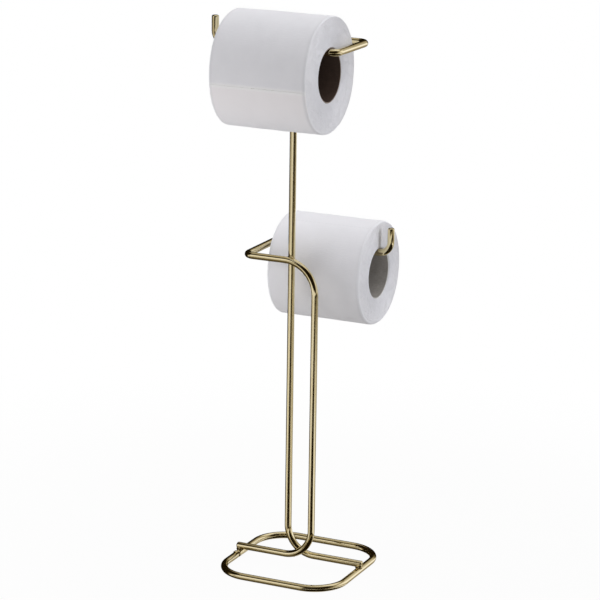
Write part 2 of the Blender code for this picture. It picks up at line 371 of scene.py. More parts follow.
def plain_mesh(name, source):
    """An object's final mesh as plain data; the object and its own mesh are removed."""
    result = bpy.data.meshes.new_from_object(source.evaluated_get(bpy.context.evaluated_depsgraph_get()))
    first = source.data
    source.modifiers.clear()
    bpy.data.objects.remove(source, do_unlink=True)
    bpy.data.meshes.remove(first)
    result.name = name
    return result


def in_scene(name, data):
    """An object of some data, put in the scene."""
    thing = bpy.data.objects.new(name, data)
    bpy.context.scene.collection.objects.link(thing)
    return thing


def grown(name, points, attributes, tree, inputs, closed=False):
    """Runs a tree on a line of points that keep named values, and keeps the result as a plain mesh."""
    mesh = bpy.data.meshes.new(name)
    count = len(points)
    edges = [(index, index + 1) for index in range(count - 1)]
    if closed:
        edges.append((count - 1, 0))
    mesh.from_pydata(points, edges, [])
    for attribute_name, values in attributes.items():
        mesh.attributes.new(attribute_name, "FLOAT", "POINT").data.foreach_set("value", values)
    source = in_scene(name + "_line", mesh)
    modifier = source.modifiers.new("grow", "NODES")
    modifier.node_group = tree
    for item in tree.interface.items_tree:
        if item.item_type == "SOCKET" and item.in_out == "INPUT" and item.name in inputs:
            modifier[item.identifier] = inputs[item.name]
    return plain_mesh(name, source)


def show(mesh, body, slot, *stands_for):
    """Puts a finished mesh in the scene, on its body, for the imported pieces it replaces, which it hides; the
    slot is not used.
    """
    shape = bmesh.new()
    shape.from_mesh(mesh)
    bmesh.ops.recalc_face_normals(shape, faces=shape.faces)
    shape.to_mesh(mesh)
    shape.free()
    piece = in_scene(mesh.name, mesh)
    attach(piece, body)
    if stands_for:
        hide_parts(*stands_for)


# ---------------------------------------------------------------- shared effects of the finishes


def speckle_group():
    """Soft noise between two values, at a scale in metres."""
    tree, given, result = new_tree(
        "speckle",
        "ShaderNodeTree",
        [
            ("Place", "NodeSocketVector", None),
            ("Size", "NodeSocketFloat", 0.01),
            ("Stretch", "NodeSocketVector", (1, 1, 1)),
            ("Detail", "NodeSocketFloat", 3.0),
            ("Low", "NodeSocketFloat", 0.0),
            ("High", "NodeSocketFloat", 1.0),
        ],
        [("Value", "NodeSocketFloat")],
    )
    place = calc_vector(tree, "MULTIPLY", given["Place"], given["Stretch"])
    scaled = put(tree, "ShaderNodeVectorMath", {0: place}, operation="SCALE")
    feed(tree, scaled.inputs["Scale"], calc(tree, "DIVIDE", 1, given["Size"]))
    feeds = {"Vector": scaled.outputs[0], "Scale": 1.0, "Detail": given["Detail"], "Roughness": 0.55}
    noise = put(tree, "ShaderNodeTexNoise", feeds).outputs["Fac"]
    feed(tree, result["Value"], ramp(tree, noise, 0.3, 0.7, given["Low"], given["High"], "LINEAR"))
    return tree


def thin_line_group():
    """A thin soft line wherever a phase passes a whole number."""
    tree, given, result = new_tree(
        "thin_line",
        "ShaderNodeTree",
        [("Phase", "NodeSocketFloat", 0.0), ("Half Width", "NodeSocketFloat", 0.1)],
        [("Mask", "NodeSocketFloat")],
    )
    near = calc(tree, "PINGPONG", given["Phase"], 0.5)
    feed(tree, result["Mask"], ramp(tree, near, 0.0, given["Half Width"], 1.0, 0.0))
    return tree


def roll_place_group():
    """Where a point is on a roll: its radius, its turn about the roll's axis and its place along it."""
    tree, given, result = new_tree(
        "roll_place",
        "ShaderNodeTree",
        [("Place", "NodeSocketVector", None), ("Centre", "NodeSocketVector", None)],
        [("Radius", "NodeSocketFloat"), ("Turn Share", "NodeSocketFloat"), ("Side", "NodeSocketFloat")],
    )
    local = calc_vector(tree, "SUBTRACT", given["Place"], given["Centre"])
    side, back, up = put(tree, "ShaderNodeSeparateXYZ", {0: local}).outputs
    squares = calc(tree, "ADD", product(tree, back, back), product(tree, up, up))
    feed(tree, result["Radius"], calc(tree, "SQRT", squares))
    feed(tree, result["Turn Share"], calc(tree, "DIVIDE", calc(tree, "ARCTAN2", up, back), FULL_TURN))
    feed(tree, result["Side"], side)
    return tree


def placed_group(tree, group, feeds):
    """A shared effect placed in a finish with its own values, and its outputs."""
    node = tree.nodes.new("ShaderNodeGroup")
    node.node_tree = group
    for socket, source in feeds.items():
        feed(tree, node.inputs[socket], source)
    return node.outputs


def speckled(tree, effects, place, size, detail=3.0, stretch=None, low=None, high=None):
    """The shared speckle, placed in a finish."""
    feeds = {"Place": place, "Size": size, "Stretch": stretch, "Detail": detail, "Low": low, "High": high}
    return placed_group(tree, effects["speckle"], feeds)[0]


def thin_line(tree, effects, phase, half_width):
    """The shared thin line, placed in a finish."""
    return placed_group(tree, effects["thin_line"], {"Phase": phase, "Half Width": half_width})[0]


def new_finish(name, **constants):
    """A new material with its plain values set, its node tree, its shader's inputs and the object's place."""
    material = bpy.data.materials.new(name)
    material.use_nodes = True
    tree = material.node_tree
    shader = tree.nodes["Principled BSDF"].inputs
    for socket, value in constants.items():
        shader[socket.replace("_", " ")].default_value = value
    return material, tree, shader, put(tree, "ShaderNodeTexCoord").outputs["Object"]


def kept(tree, name, output="Fac"):
    """What the mesh keeps under a name, in a finish."""
    return put(tree, "ShaderNodeAttribute", attribute_name=name).outputs[output]


def blend_colours(tree, share, first, second):
    """A colour between two, by a share."""
    node = put(tree, "ShaderNodeMix", {0: share}, data_type="RGBA")
    for socket, colour in ((6, first), (7, second)):
        feed(tree, node.inputs[socket], (*colour, 1) if isinstance(colour, tuple) else colour)
    return node.outputs[2]


def bumped(tree, height, strength, distance, normal=None):
    """A bump of a height map."""
    feeds = {"Height": height, "Strength": strength, "Distance": distance, "Normal": normal}
    return put(tree, "ShaderNodeBump", feeds).outputs[0]


# ---------------------------------------------------------------- finishes


def brass_finish(name, effects, colours, rough_low, rough_high, along_wire):
    """Polished brass plating: a little deeper in patches, with faint drawing lines along the wire."""
    material, tree, shader, objects = new_finish(name, Metallic=1.0)
    patch = speckled(tree, effects, objects, PLATING_PATCH)
    feed(tree, shader["Base Color"], blend_colours(tree, patch, *colours))
    rough = speckled(tree, effects, objects, PLATING_RUB, 4.0, None, rough_low, rough_high)
    feed(tree, shader["Roughness"], rough)
    line_place = kept(tree, "wire_place", "Vector") if along_wire else objects
    lines = speckled(tree, effects, line_place, DRAWN_LINE, 2.0, ALONG_WIRE)
    peel = speckled(tree, effects, objects, PLATING_PEEL, 1.0)
    normal = bumped(tree, lines, 0.04, 0.00001)
    feed(tree, shader["Normal"], bumped(tree, peel, 0.10, 0.00004, normal))
    return material


def wound_gaps(tree, effects, objects, roll, end):
    """The gaps between the wound layers on a roll's ends, unevenly strong: a mask for the painted shade in
    them and for their bump.
    """
    phase = calc(tree, "DIVIDE", roll["Radius"], LAYER_PITCH / 2)
    phase = calc(tree, "SUBTRACT", phase, roll["Turn Share"])
    phase = calc(tree, "ADD", phase, speckled(tree, effects, objects, LAYER_DRIFT, 2.0, high=1.1))
    uneven = speckled(tree, effects, objects, PAPER_STREAK, 3.0, (0.2, 1, 1))
    gap = thin_line(tree, effects, phase, GAP_HALF_WIDTH)
    return product(tree, gap, end, calc(tree, "ADD", GAP_LEAST, uneven))


def loose_sheet_painted_light(tree, paper, share, side, half_length):
    """The outer sheet's colour: painted light, paler towards the tail, a painted highlight along the tail, and
    painted shade, a little greyer, on the rims.
    """
    # Painted light: the outer sheet is paler over the first part of its turn from the tail.
    paper = blend_colours(tree, ramp(tree, share, 0.0, TAIL_LIGHT_TURN, 1.0, 0.0), paper, PAPER_IN_TAIL_LIGHT)
    # Painted highlight: a thin pale line along the tail's edge.
    over_tail = calc(tree, "ABSOLUTE", calc(tree, "SUBTRACT", share, 1 / SHEET_TURNS))
    to_tail = calc(tree, "MINIMUM", share, over_tail)
    tail_highlight = ramp(tree, to_tail, TAIL_HIGHLIGHT_FROM, TAIL_HIGHLIGHT_TO, 1.0, 0.0)
    paper = blend_colours(tree, tail_highlight, paper, PAPER_TAIL_HIGHLIGHT)
    # Painted shade: the sheet is a little greyer near the roll's ends, less so at the very edge.
    from_middle = calc(tree, "ABSOLUTE", side)
    rim = ramp(tree, from_middle, half_length - RIM_SHADE_FROM, half_length - RIM_SHADE_TO)
    fading = ramp(tree, from_middle, half_length - RIM_SHADE_FADE, half_length, 0.5, 0.1, "LINEAR")
    return blend_colours(tree, product(tree, rim, fading), paper, PAPER_IN_RIM_SHADE)


def slit_rows(tree, effects, share, side):
    """The rows of slits between the outer turn's sheets, but none near the tail."""
    phase = product(tree, share, SHEETS_PER_TURN * SHEET_TURNS)
    row = thin_line(tree, effects, phase, SLIT_HALF_WIDTH)
    from_middle = calc(tree, "ABSOLUTE", calc(tree, "SUBTRACT", share, 0.5))
    inner = calc(tree, "LESS_THAN", from_middle, 0.45)
    slits = calc(tree, "PINGPONG", calc(tree, "DIVIDE", side, SLIT_SPACING), 0.5)
    return product(tree, row, inner, calc(tree, "LESS_THAN", slits, SLIT_SHARE))


def tissue_finish(name, effects, centre, half_length, loose):
    """Soft white tissue: crepe lines across the sheet, fibres, and wound edges on the ends, with painted shade
    in their gaps and towards the bore; the loose outer sheet has its tail, with painted light and a painted
    highlight, and painted shade on its rims and in its slits."""
    plain = {"Roughness": 0.93, "Specular_IOR_Level": 0.25, "Sheen_Weight": 0.15, "Sheen_Roughness": 0.6}
    material, tree, shader, objects = new_finish(name, **plain)
    roll = placed_group(tree, effects["roll_place"], {"Place": objects, "Centre": centre})
    end = kept(tree, "end_face")
    paper = blend_colours(tree, speckled(tree, effects, objects, PAPER_CLOUD), PAPER_PALE, PAPER_DEEP)
    gap = wound_gaps(tree, effects, objects, roll, end)
    # Painted shade in the gaps between the wound layers.
    paper = blend_colours(tree, product(tree, gap, GAP_SHADE), paper, PAPER_IN_GAP_SHADE)
    # Painted shade: the end faces are darker towards the bore and paler towards the outside.
    bore_shade = ramp(tree, roll["Radius"], BORE_SHADE_FROM, BORE_SHADE_TO, BORE_SHADE_STRENGTH, 0.0)
    paper = blend_colours(tree, product(tree, bore_shade, end), paper, PAPER_IN_BORE_SHADE)

    face = calc(tree, "SUBTRACT", 1, end)
    crepe_place = calc_vector(tree, "MULTIPLY", objects, (0.10, 1, 1))
    crepe = speckled(tree, effects, crepe_place, PAPER_CREPE, 2.0)
    fibres = speckled(tree, effects, objects, PAPER_FIBRE)
    height = calc(tree, "ADD", product(tree, crepe, face), product(tree, fibres, 0.5))
    height = calc(tree, "SUBTRACT", height, product(tree, gap, GAP_DEPTH))
    if loose:
        share = kept(tree, "turn_share")
        paper = loose_sheet_painted_light(tree, paper, share, roll["Side"], half_length)
        slits = slit_rows(tree, effects, share, roll["Side"])
        # Painted shade in the slits between the outer turn's sheets.
        paper = blend_colours(tree, product(tree, slits, SLIT_SHADE), paper, PAPER_IN_SLIT_SHADE)
        height = calc(tree, "SUBTRACT", height, product(tree, slits, SLIT_DEPTH))
    feed(tree, shader["Base Color"], paper)
    feed(tree, shader["Normal"], bumped(tree, height, 0.55, BUMP_HEIGHT))
    return material


def board_finish(name, effects, centre, pale, deep, cut):
    """Raw core board: short fibres, a rubbed look, its wound strip's slanting seam, and a pale cut edge."""
    material, tree, shader, objects = new_finish(name, Specular_IOR_Level=0.2)
    roll = placed_group(tree, effects["roll_place"], {"Place": objects, "Centre": centre})
    fibres = speckled(tree, effects, objects, BOARD_FIBRE, 4.0, (0.35, 1, 1))
    cloud = speckled(tree, effects, objects, BOARD_CLOUD)
    mixed = calc(tree, "ADD", product(tree, fibres, 0.55), product(tree, cloud, 0.45))
    board = blend_colours(tree, mixed, pale, deep)
    phase = calc(tree, "ADD", roll["Turn Share"], calc(tree, "DIVIDE", roll["Side"], TUBE_SEAM_LEAD))
    seam = thin_line(tree, effects, phase, SEAM_HALF_WIDTH)
    dark = tuple(0.45 * value for value in deep)
    board = blend_colours(tree, product(tree, seam, SEAM_SHADE), board, dark)
    edge = product(tree, kept(tree, "end_face"), calc(tree, "ADD", 0.75, fibres))
    feed(tree, shader["Base Color"], blend_colours(tree, edge, board, cut))
    feed(tree, shader["Roughness"], speckled(tree, effects, objects, BOARD_RUB, low=0.82, high=0.95))
    height = calc(tree, "SUBTRACT", fibres, product(tree, seam, SEAM_DEPTH))
    feed(tree, shader["Normal"], bumped(tree, height, 0.6, BUMP_HEIGHT))
    return material


# ---------------------------------------------------------------- brass wires


def stand_sizes():
    """The stand's main sizes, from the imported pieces, at the middle of the wire."""
    ring_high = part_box("base_ring")[1]
    arm_low, arm_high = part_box("lower_arm_wire")
    return {
        "ring_half_width": ring_high.x - WIRE_RADIUS,
        "ring_half_depth": ring_high.y - WIRE_RADIUS,
        "arm_depth": arm_high.y - WIRE_RADIUS,
        "tip_reach": arm_high.x - WIRE_RADIUS,
        "foot_reach": -arm_low.x,
    }


def eased_end(end, towards):
    """Points from a wire's cut end inward, with no bend and the share of the wire's thickness at each."""
    inward = (towards - end).normalized()
    points = []
    for angle in map(math.radians, WIRE_END_ANGLES):
        back = WIRE_END_EASE * (1 - math.cos(angle))
        share = 1 - WIRE_END_EASE * (1 - math.sin(angle)) / WIRE_RADIUS
        points.append((end + inward * back, 0.0, share))
    return points


def wire_mesh(name, start, corners, end, tree, material):
    """A wire from start to end, bent at each (corner, radius), with eased cut ends."""
    stops = eased_end(start, corners[0][0])
    stops += [(corner, radius, 1.0) for corner, radius in corners]
    stops += eased_end(end, corners[-1][0])[::-1]
    points, bends, shares = zip(*stops)
    attributes = {"bend_radius": bends, "thickness_share": shares}
    return grown(name, points, attributes, tree, {"Material": material})


def ring_parts(sizes):
    """The base ring's ends and corners, from its joint on the left side round by the front and the back."""
    half_width, half_depth = sizes["ring_half_width"], sizes["ring_half_depth"]
    middle = Vector((-half_width, -RING_JOINT, WIRE_RADIUS))
    start = middle - BACK * RING_END_GAP / 2
    end = middle + BACK * RING_END_GAP / 2
    corners = []
    for side, depth in ((-1, -1), (1, -1), (1, 1), (-1, 1)):
        corner = Vector((side * half_width, depth * half_depth, WIRE_RADIUS))
        corners.append((corner, RING_CORNER_RADIUS))
    return start, corners, end


def standing_parts(sizes, arm_height, half_turned):
    """A standing wire's ends and corners: foot, riser, arm to the side and the back, and upturned tip."""
    front, back, tip = -PLANE_OFFSET, sizes["arm_depth"], sizes["tip_reach"]
    corners = [
        (Vector((HALF_SPACING, front, FOOT_HEIGHT)), FOOT_BEND_RADIUS),
        (Vector((HALF_SPACING, front, arm_height)), ARM_BEND_RADIUS),
        (Vector((-ARM_SIDE_REACH, front, arm_height)), ARM_CORNER_RADIUS),
        (Vector((-ARM_SIDE_REACH, back, arm_height)), ARM_CORNER_RADIUS),
        (Vector((tip, back, arm_height)), TIP_CURL_RADIUS),
    ]
    start = Vector((-sizes["foot_reach"], front, FOOT_HEIGHT))
    end = Vector((tip, back, arm_height + TIP_RISE))
    if half_turned:
        turn = Matrix.Rotation(HALF_TURN, 3, "Z")
        corners = [(turn @ corner, radius) for corner, radius in corners]
        start, end = turn @ start, turn @ end
    return start, corners, end


def build_wires(tree, finish):
    """The ring on the floor and the two standing wires."""
    sizes = stand_sizes()
    mesh = wire_mesh("base_ring_wire", *ring_parts(sizes), tree, finish)
    show(mesh, "stand", "brass_plating", "base_ring")
    for name, node, half_turned in (
        ("lower_arm_round_wire", "lower_arm_wire", False),
        ("pole_round_wire", "pole_wire", True),
    ):
        arm_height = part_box(node)[1].z - TIP_RISE
        mesh = wire_mesh(name, *standing_parts(sizes, arm_height, half_turned), tree, finish)
        show(mesh, "stand", "brass_plating", node)


# ---------------------------------------------------------------- welds


def fillet_mesh(name, box, wires, thin_axis, material):
    """A fused cross weld: a flat ball and the wires' surfaces, grown into one soft-cornered skin."""
    low, high = box
    middle = (low + high) / 2
    shape = bmesh.new()
    for direction, offset in wires:
        turn = direction.to_track_quat("Z", "Y").to_matrix().to_4x4()
        bmesh.ops.create_cone(
            shape,
            cap_ends=True,
            segments=32,
            radius1=WIRE_RADIUS - FILLET_STUB_INSET,
            radius2=WIRE_RADIUS - FILLET_STUB_INSET,
            depth=2 * FILLET_STUB_LENGTH,
            matrix=Matrix.Translation(middle + offset) @ turn,
        )
    half = (high - low) / 2
    half[thin_axis] = max(half[thin_axis], WIRE_RADIUS * FILLET_LEAST_SHARE)
    ball = Matrix.Translation(middle) @ Matrix.Diagonal((*(half * FILLET_BALL_SHARE), 1))
    bmesh.ops.create_uvsphere(shape, u_segments=24, v_segments=16, radius=1, matrix=ball)
    mesh = bpy.data.meshes.new(name)
    shape.to_mesh(mesh)
    shape.free()
    lump = in_scene(name + "_lump", mesh)
    voxels = lump.modifiers.new("fuse", "REMESH")
    voxels.mode = "VOXEL"
    voxels.voxel_size = FILLET_VOXEL
    voxels.use_smooth_shade = True
    soften = lump.modifiers.new("soften", "SMOOTH")
    soften.factor = 0.5
    soften.iterations = FILLET_SMOOTH_STEPS
    result = plain_mesh(name, lump)
    result.materials.clear()
    result.materials.append(material)
    return result


def bead_mesh(name, box, material):
    """The bead that closes the ring: a swollen band along the wire with one welding pass's ripples."""
    low, high = box
    middle, half = (low + high) / 2, (high - low) / 2
    shape = bmesh.new()
    rings = []
    for ring in range(1, BEAD_RINGS):
        run = -1 + 2 * ring / BEAD_RINGS
        girth = (1 - run**2) ** BEAD_FULLNESS
        ripple = BEAD_RIPPLE_HEIGHT * (math.cos(HALF_TURN * BEAD_RIPPLES * run) - 1) / 2
        loop = []
        for side in range(BEAD_SIDES):
            angle = FULL_TURN * side / BEAD_SIDES
            across = math.cos(angle) * (half.x * girth + ripple)
            up = math.sin(angle) * (half.z * girth + ripple)
            loop.append(shape.verts.new(middle + Vector((across, half.y * run, up))))
        rings.append(loop)
    for first, second in zip(rings, rings[1:]):
        for side in range(BEAD_SIDES):
            turn = (side + 1) % BEAD_SIDES
            shape.faces.new((first[side], first[turn], second[turn], second[side]))
    for loop, end in ((rings[0], -1), (rings[-1], 1)):
        pole = shape.verts.new(middle + BACK * half.y * end)
        for side in range(BEAD_SIDES):
            shape.faces.new((loop[side], loop[(side + 1) % BEAD_SIDES], pole))
    mesh = bpy.data.meshes.new(name)
    shape.to_mesh(mesh)
    shape.free()
    mesh.materials.append(material)
    mesh.shade_smooth()
    return mesh


def sloping(run, radius, sense):
    """The way a bend points where it has run so far from its level start, rising or falling."""
    slope = math.asin(run / radius)
    return Vector((math.cos(slope), 0, sense * math.sin(slope)))


def build_welds(finish):
    """A fused weld between each two wires that touch, and the bead that closes the ring."""
    upward = UP * (WIRE_RADIUS + HALF_WIRE_GAP)
    backward = BACK * PLANE_OFFSET
    foot_run, arm_run = FOOT_BEND_RADIUS - HALF_SPACING, ARM_BEND_RADIUS - 2 * HALF_SPACING
    rising, falling = (sloping(foot_run, FOOT_BEND_RADIUS, sense) for sense in (1, -1))
    bending = sloping(arm_run, ARM_BEND_RADIUS, -1)
    welds = [
        (side + "_foot_weld", ((BACK, -upward), (RIGHT, upward + inward * FOOT_STUB_SHIFT)), 2)
        for side, inward in (("left", RIGHT), ("right", -RIGHT))
    ]
    welds.append(("foot_bends_weld", ((rising, -backward), (falling, backward)), 1))
    welds.append(("arm_bend_weld", ((bending, -backward), (UP, backward)), 1))
    for node, wires, thin_axis in welds:
        mesh = fillet_mesh(node + "_fillet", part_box(node), wires, thin_axis, finish)
        show(mesh, "stand", "brass_plating", node)
    mesh = bead_mesh("base_ring_butt_bead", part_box("base_ring_butt_weld"), finish)
    show(mesh, "stand", "brass_plating", "base_ring_butt_weld")


# ---------------------------------------------------------------- tissue rolls and board tubes


def spaced(first, last, spacing):
    """Values from first to last, both included, about a spacing apart."""
    count = max(1, round(abs(last - first) / spacing))
    return [first + (last - first) * index / count for index in range(count + 1)]


def layers_section(bore, radius, half_length, rim, seed):
    """The wound body's section: bore, layered end, rim, outer face, rim and layered end."""
    chance = random.Random(seed)
    bore_end = half_length - LAYER_GROOVE
    points = [(bore, -bore_end, 0.0, 1.0), (bore, bore_end, 0.0, 1.0)]
    layer_count = round((radius - rim - bore) / LAYER_PITCH)
    for end in (1, -1):
        wander, face = 0.0, []
        for layer in range(layer_count):
            shift = LAYER_WANDER * chance.uniform(-1, 1) * 2
            wander = WANDER_MEMORY * wander + (1 - WANDER_MEMORY) * shift
            depth = LAYER_WANDER + wander
            for share, groove in LAYER_POINTS:
                reach = bore + (radius - rim - bore) * (layer + share) / layer_count
                soft = (reach - bore) / (radius - bore)
                face.append((reach, end * (half_length - depth - groove), soft**2, 1.0))
        for step in range(1, RIM_STEPS + 1):
            flat = 1 - step / RIM_STEPS
            angle = QUARTER_TURN * step / RIM_STEPS
            reach = radius - rim + rim * math.sin(angle)
            run = half_length - rim + rim * math.cos(angle) - LAYER_WANDER * flat
            face.append((reach, end * run, 1.0, flat))
        if end == 1:
            inner = spaced(half_length - rim, -half_length + rim, FACE_SPACING)[1:-1]
            points += face + [(radius, run, 1.0, 0.0) for run in inner]
        else:
            points += face[::-1]
    return points


def sheet_line(radius, rim, rounding, half_length):
    """One side of the outer sheet's section: part way over a rim, along the face and over the other rim."""
    flat = half_length - rim
    line = []
    for step in range(RIM_STEPS + 1):
        angle = SHEET_RIM_ANGLE + (QUARTER_TURN - SHEET_RIM_ANGLE) * step / RIM_STEPS
        line.append((radius - rim + rounding * math.sin(angle), flat + rounding * math.cos(angle)))
    face = spaced(flat, -flat, SHEET_SPACING)[1:-1]
    return line + [(line[-1][0], run) for run in face] + [(reach, -run) for reach, run in line[::-1]]


def turned_mesh(name, section, tree, inputs, tears=None):
    """A closed section turned about the X axis, from rows of radius, side, softness and end face."""
    attributes = dict(zip(("reach", "side", "softness", "end_face"), zip(*section)))
    attributes["tear"] = tears or [0.0] * len(section)
    points = [(row[1], row[0], 0) for row in section]
    return grown(name, points, attributes, tree, inputs, closed=True)


def tissue_roll(place, rim, growth, tail_angle, seed, tree, effects):
    """A roll's wound body and its loose outer sheet, about the roll's own axis."""
    core_low, core_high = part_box(place + "_roll_core")
    bore = (core_high.z - core_low.z) / 2 + CORE_ROOM
    low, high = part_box(place + "_roll_paper")
    centre = (low + high) / 2
    half_length = (high.x - low.x) / 2 + growth
    radius = (high.z - low.z) / 2
    inputs = {
        "Centre": centre,
        "Start Angle": tail_angle,
        "Steps": ROLL_STEPS,
        "Soft Height": SOFT_HEIGHT,
        "Plumpness": PLUMPNESS,
        "Soft Seed": float(seed),
        "Material": tissue_finish(place + "_roll_tissue", effects, centre, half_length, False),
    }
    section = layers_section(bore, radius - 2 * SHEET_THICKNESS, half_length, rim, seed)
    mesh = turned_mesh(place + "_roll_layers", section, tree, inputs)
    show(mesh, place + "_paper", "tissue", place + "_roll_paper")

    outer = sheet_line(radius, rim, rim, half_length)
    under = sheet_line(radius, rim, rim - SHEET_THICKNESS, half_length)
    section = [(reach, side, 1.0, 0.0) for reach, side in outer + under[::-1]]
    chance = random.Random(seed + 1)
    tears = []
    for index in range(len(outer)):
        tooth = (1 if index % 2 else -1) + chance.uniform(-TEAR_SPREAD, TEAR_SPREAD)
        tears.append(-abs(TEAR_DEPTH / radius * tooth))
    inputs.update(
        {
            "Turn": FULL_TURN * SHEET_TURNS,
            "Steps": SHEET_STEPS,
            "Spread": SHEET_SPREAD,
            "Drop": SHEET_THICKNESS * SHEET_TURNS,
            "Tail Lift": TAIL_LIFT,
            "Cut Ends": True,
            "Material": tissue_finish(place + "_roll_outer_tissue", effects, centre, half_length, True),
        }
    )
    mesh = turned_mesh(place + "_roll_outer_sheet", section, tree, inputs, tears + tears[::-1])
    show(mesh, place + "_paper", "tissue")


def board_tube(place, colours, tree, effects):
    """A roll's board tube, with slightly eased rims."""
    low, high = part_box(place + "_roll_core")
    centre = (low + high) / 2
    half_length = (high.x - low.x) / 2
    radius = (high.z - low.z) / 2
    eased = half_length - TUBE_EASE
    right_end = [
        (TUBE_BORE_RADIUS, eased, 0.0, 0.0),
        (TUBE_BORE_RADIUS + TUBE_EASE, half_length, 0.0, 1.0),
        (radius - TUBE_EASE, half_length, 0.0, 1.0),
        (radius, eased, 0.0, 0.0),
    ]
    left_end = [(reach, -run, soft, end) for reach, run, soft, end in right_end[::-1]]
    section = left_end[-1:] + right_end + left_end[:-1]
    finish = board_finish(place + "_core_board", effects, centre, *colours)
    inputs = {"Centre": centre, "Steps": TUBE_STEPS, "Material": finish}
    mesh = turned_mesh(place + "_roll_tube", section, tree, inputs)
    show(mesh, place + "_core", "core_board", place + "_roll_core")


# ---------------------------------------------------------------- studio

CAMERA_DISTANCE = 2.5
CAMERA_HEIGHT = 0.9515
CAMERA_AZIMUTH, CAMERA_YAW = 24.945, 25.012
CAMERA_PITCH, CAMERA_ROLL = -15.009, 0.822
CAMERA_LENS = 155.27

# What the brass mirrors. For each panel: azimuth from the front towards the right, half width and soft
# edge; elevation, half height and soft edge; how far it leans towards the right for each degree up; all in
# degrees, and its level
MIRRORED_SHADE = 0.010
MIRRORED_WARMTH = 0.4
MIRRORED_PANELS = (
    ("floor_left", (-46, 22, 12), (-29, 41, 8), 0, 0.14),
    ("floor_back", (-175, 28, 14), (-61, 34, 12), 0, 0.36),
    ("ceiling", (180, 180, 1), (90, 27, 8), 0, 0.36),
    ("ceiling_back", (163, 60, 12), (90, 38, 20), 0, 0.82),
    ("window_left", (-40, 12.5, 10), (5.5, 24, 8), 0.65, 0.92),
    ("dark_left", (-46, 6, 9), (-9, 6, 5), 0, 0.20),
    ("window_front_left", (-24, 8, 9), (-7, 8, 6), 0, 0.54),
    ("table_front_left", (-7.4, 14, 24), (-14, 4, 5), 7.2, 0.82),
    ("window_low_right", (106, 34, 18), (-18.8, 3, 3.2), 0, 0.44),
    ("window_mid_right", (145, 15, 32), (-10.5, 4, 3), 0, 0.30),
    ("window_right", (129, 11, 50), (13.5, 16, 10), 0.7, 0.70),
    ("window_back_right", (142, 13.5, 13), (2.5, 8.5, 19), -1.15, 1.05),
    ("table_right", (116, 19, 10), (-25.5, 5.5, 6.5), -4.1, 1.0),
)

# The light on the paper: its even part, what comes from afar, and the lamps close by
EVEN_LEVEL = 0.43
FAR_LIGHTS = (
    ("top_light", 165, 68, 0.43, 60, WHITE),
    ("right_light", 91, 16, 0.365, 24, (0.97, 0.98, 1.0)),
)
NEAR_LIGHTS = (
    ("low_left_light", (-0.50, -0.25, 0.27), 1.38),
    ("front_left_light", (-0.44, -0.50, 0.42), 0.74),
)
NEAR_LIGHT_SIZE = 0.5

FLOOR_REACH = 12.0
FLOOR_COLOUR = (0.46, 0.455, 0.45)
SHADOW_NEAR, SHADOW_FAR, SHADOW_SHARE = 0.25, 0.75, 0.04


def build_camera():
    """The camera at the photograph's angle."""
    data = bpy.data.cameras.new("photo_camera")
    data.sensor_width = 36.0
    data.lens = CAMERA_LENS
    data.clip_start = 0.1
    data.clip_end = 60.0
    camera = in_scene("photo_camera", data)
    azimuth, yaw, pitch, roll = map(math.radians, (CAMERA_AZIMUTH, CAMERA_YAW, CAMERA_PITCH, CAMERA_ROLL))
    ahead = Vector((-math.sin(yaw) * math.cos(pitch), math.cos(yaw) * math.cos(pitch), math.sin(pitch)))
    level = Vector((math.cos(yaw), math.sin(yaw), 0))
    above = level.cross(ahead)
    across = level * math.cos(roll) + above * math.sin(roll)
    upright = above * math.cos(roll) - level * math.sin(roll)
    turn = Matrix((across, upright, -ahead)).transposed()
    place = Vector((math.sin(azimuth), -math.cos(azimuth), 0)) * CAMERA_DISTANCE + UP * CAMERA_HEIGHT
    camera.matrix_world = Matrix.Translation(place) @ turn.to_4x4()
    bpy.context.scene.camera = camera
    bpy.context.scene.view_settings.view_transform = "Standard"


def panel_group():
    """Where one soft-edged studio panel is seen."""
    tree, given, result = new_tree(
        "studio_panel",
        "ShaderNodeTree",
        [
            ("Direction", "NodeSocketVector", None),
            ("Azimuth", "NodeSocketFloat", 0.0),
            ("Half Width", "NodeSocketFloat", 10.0),
            ("Width Softness", "NodeSocketFloat", 5.0),
            ("Elevation", "NodeSocketFloat", 0.0),
            ("Half Height", "NodeSocketFloat", 10.0),
            ("Height Softness", "NodeSocketFloat", 5.0),
            ("Lean", "NodeSocketFloat", 0.0),
        ],
        [("Mask", "NodeSocketFloat")],
    )
    right, back, up = put(tree, "ShaderNodeSeparateXYZ", {0: given["Direction"]}).outputs
    degrees = math.degrees(1)
    height = calc(tree, "MINIMUM", calc(tree, "MAXIMUM", up, -1), 1)
    height = product(tree, calc(tree, "ARCSINE", height), degrees)
    raised = calc(tree, "SUBTRACT", height, given["Elevation"])
    turned = product(tree, calc(tree, "ARCTAN2", right, product(tree, back, -1)), degrees)
    turned = calc(tree, "SUBTRACT", turned, given["Azimuth"])
    turned = calc(tree, "SUBTRACT", turned, product(tree, raised, given["Lean"]))
    turned = calc(tree, "WRAP", turned, 180, -180)
    masks = []
    for value, side in ((turned, "Width"), (raised, "Height")):
        half = given["Half " + side]
        edge = calc(tree, "ADD", half, given[side + " Softness"])
        masks.append(ramp(tree, calc(tree, "ABSOLUTE", value), edge, half))
    feed(tree, result["Mask"], product(tree, *masks))
    return tree


